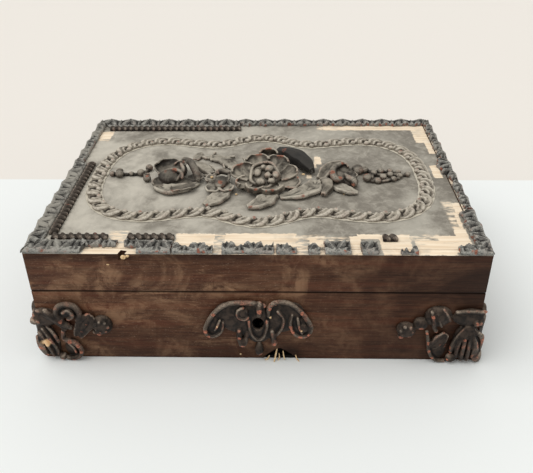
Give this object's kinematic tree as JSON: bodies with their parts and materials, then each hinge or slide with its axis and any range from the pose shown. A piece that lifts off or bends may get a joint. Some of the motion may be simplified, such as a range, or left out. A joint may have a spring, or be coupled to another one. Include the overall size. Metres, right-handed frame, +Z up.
{
  "type": "lidded wooden box",
  "caption": "Low rectangular wooden casket with a lift-off lid, keyhole, and worn moulded flowers, plaited ring, borders and corner mounts.",
  "frame": {"origin": "middle of the underside, on the surface that the box stands on", "axes": "+X along the front to the right, +Y from the front to the back, +Z up"},
  "size_m": [0.29, 0.2032, 0.0983],
  "materials": {
    "stained_wood": "dark stained, worn, low sheen, grain along each board",
    "bottom_wood": "bare unfinished pine, darkened by age",
    "panel_wood": "grey and dusty over black paint, bare cream wood where the border is lost",
    "border_composition": "pressed composition, blue-grey paint worn at the edges",
    "bead_composition": "pressed composition, black with red-brown worn tops",
    "ring_composition": "pressed composition, grey with dust, red-brown on its worn tops",
    "spray_composition": "pressed composition, black with salmon red worn tips",
    "worn_composition": "pressed composition, paint worn to dusty grey",
    "mount_composition": "pressed composition, black with red-brown worn edges"
  },
  "bodies": {
    "root": {"base_front_board": "stained_wood", "lid_front_rail": "stained_wood", "base_back_board": "stained_wood", "lid_back_rail": "stained_wood", "base_left_board": "stained_wood", "lid_left_rail": "stained_wood", "base_right_board": "stained_wood", "lid_right_rail": "stained_wood", "base_bottom_board": "bottom_wood", "lid_panel": "panel_wood", "border_front_1": "border_composition", "border_front_2": "border_composition", "border_front_3": "border_composition", "border_front_4": "border_composition", "border_front_5": "border_composition", "border_front_6": "border_composition", "border_front_7": "border_composition", "border_front_8": "border_composition", "border_front_9": "border_composition", "border_front_10": "border_composition", "border_right_1": "border_composition", "border_right_2": "border_composition", "border_right_3": "border_composition", "border_back": "border_composition", "border_left": "border_composition", "bead_front_1": "bead_composition", "bead_front_2": "bead_composition", "bead_front_3": "bead_composition", "bead_back": "bead_composition", "bead_left": "bead_composition", "plaited_ring": "ring_composition", "rose": "spray_composition", "left_rosebud": "spray_composition", "right_blossom": "spray_composition", "tulip_bud": "spray_composition", "berries_left": "spray_composition", "berries_right": "spray_composition", "leaf_behind_rose": "spray_composition", "leaf_right_boat": "spray_composition", "leaf_right_curl": "spray_composition", "leaf_right_cup": "worn_composition", "leaf_right_low": "worn_composition", "leaf_front_middle": "worn_composition", "leaf_front_left": "worn_composition", "tulip_cup": "worn_composition", "leaf_bud_front": "worn_composition", "leaf_ribbed": "worn_composition", "leaf_back_left": "worn_composition", "leaf_back_bud": "worn_composition", "keyhole_escutcheon": "mount_composition", "escutcheon_drop": "mount_composition", "mount_front_left": "mount_composition", "mount_front_right": "mount_composition", "mount_back_left": "mount_composition", "mount_back_right": "mount_composition"}
  },
  "joints": []
}
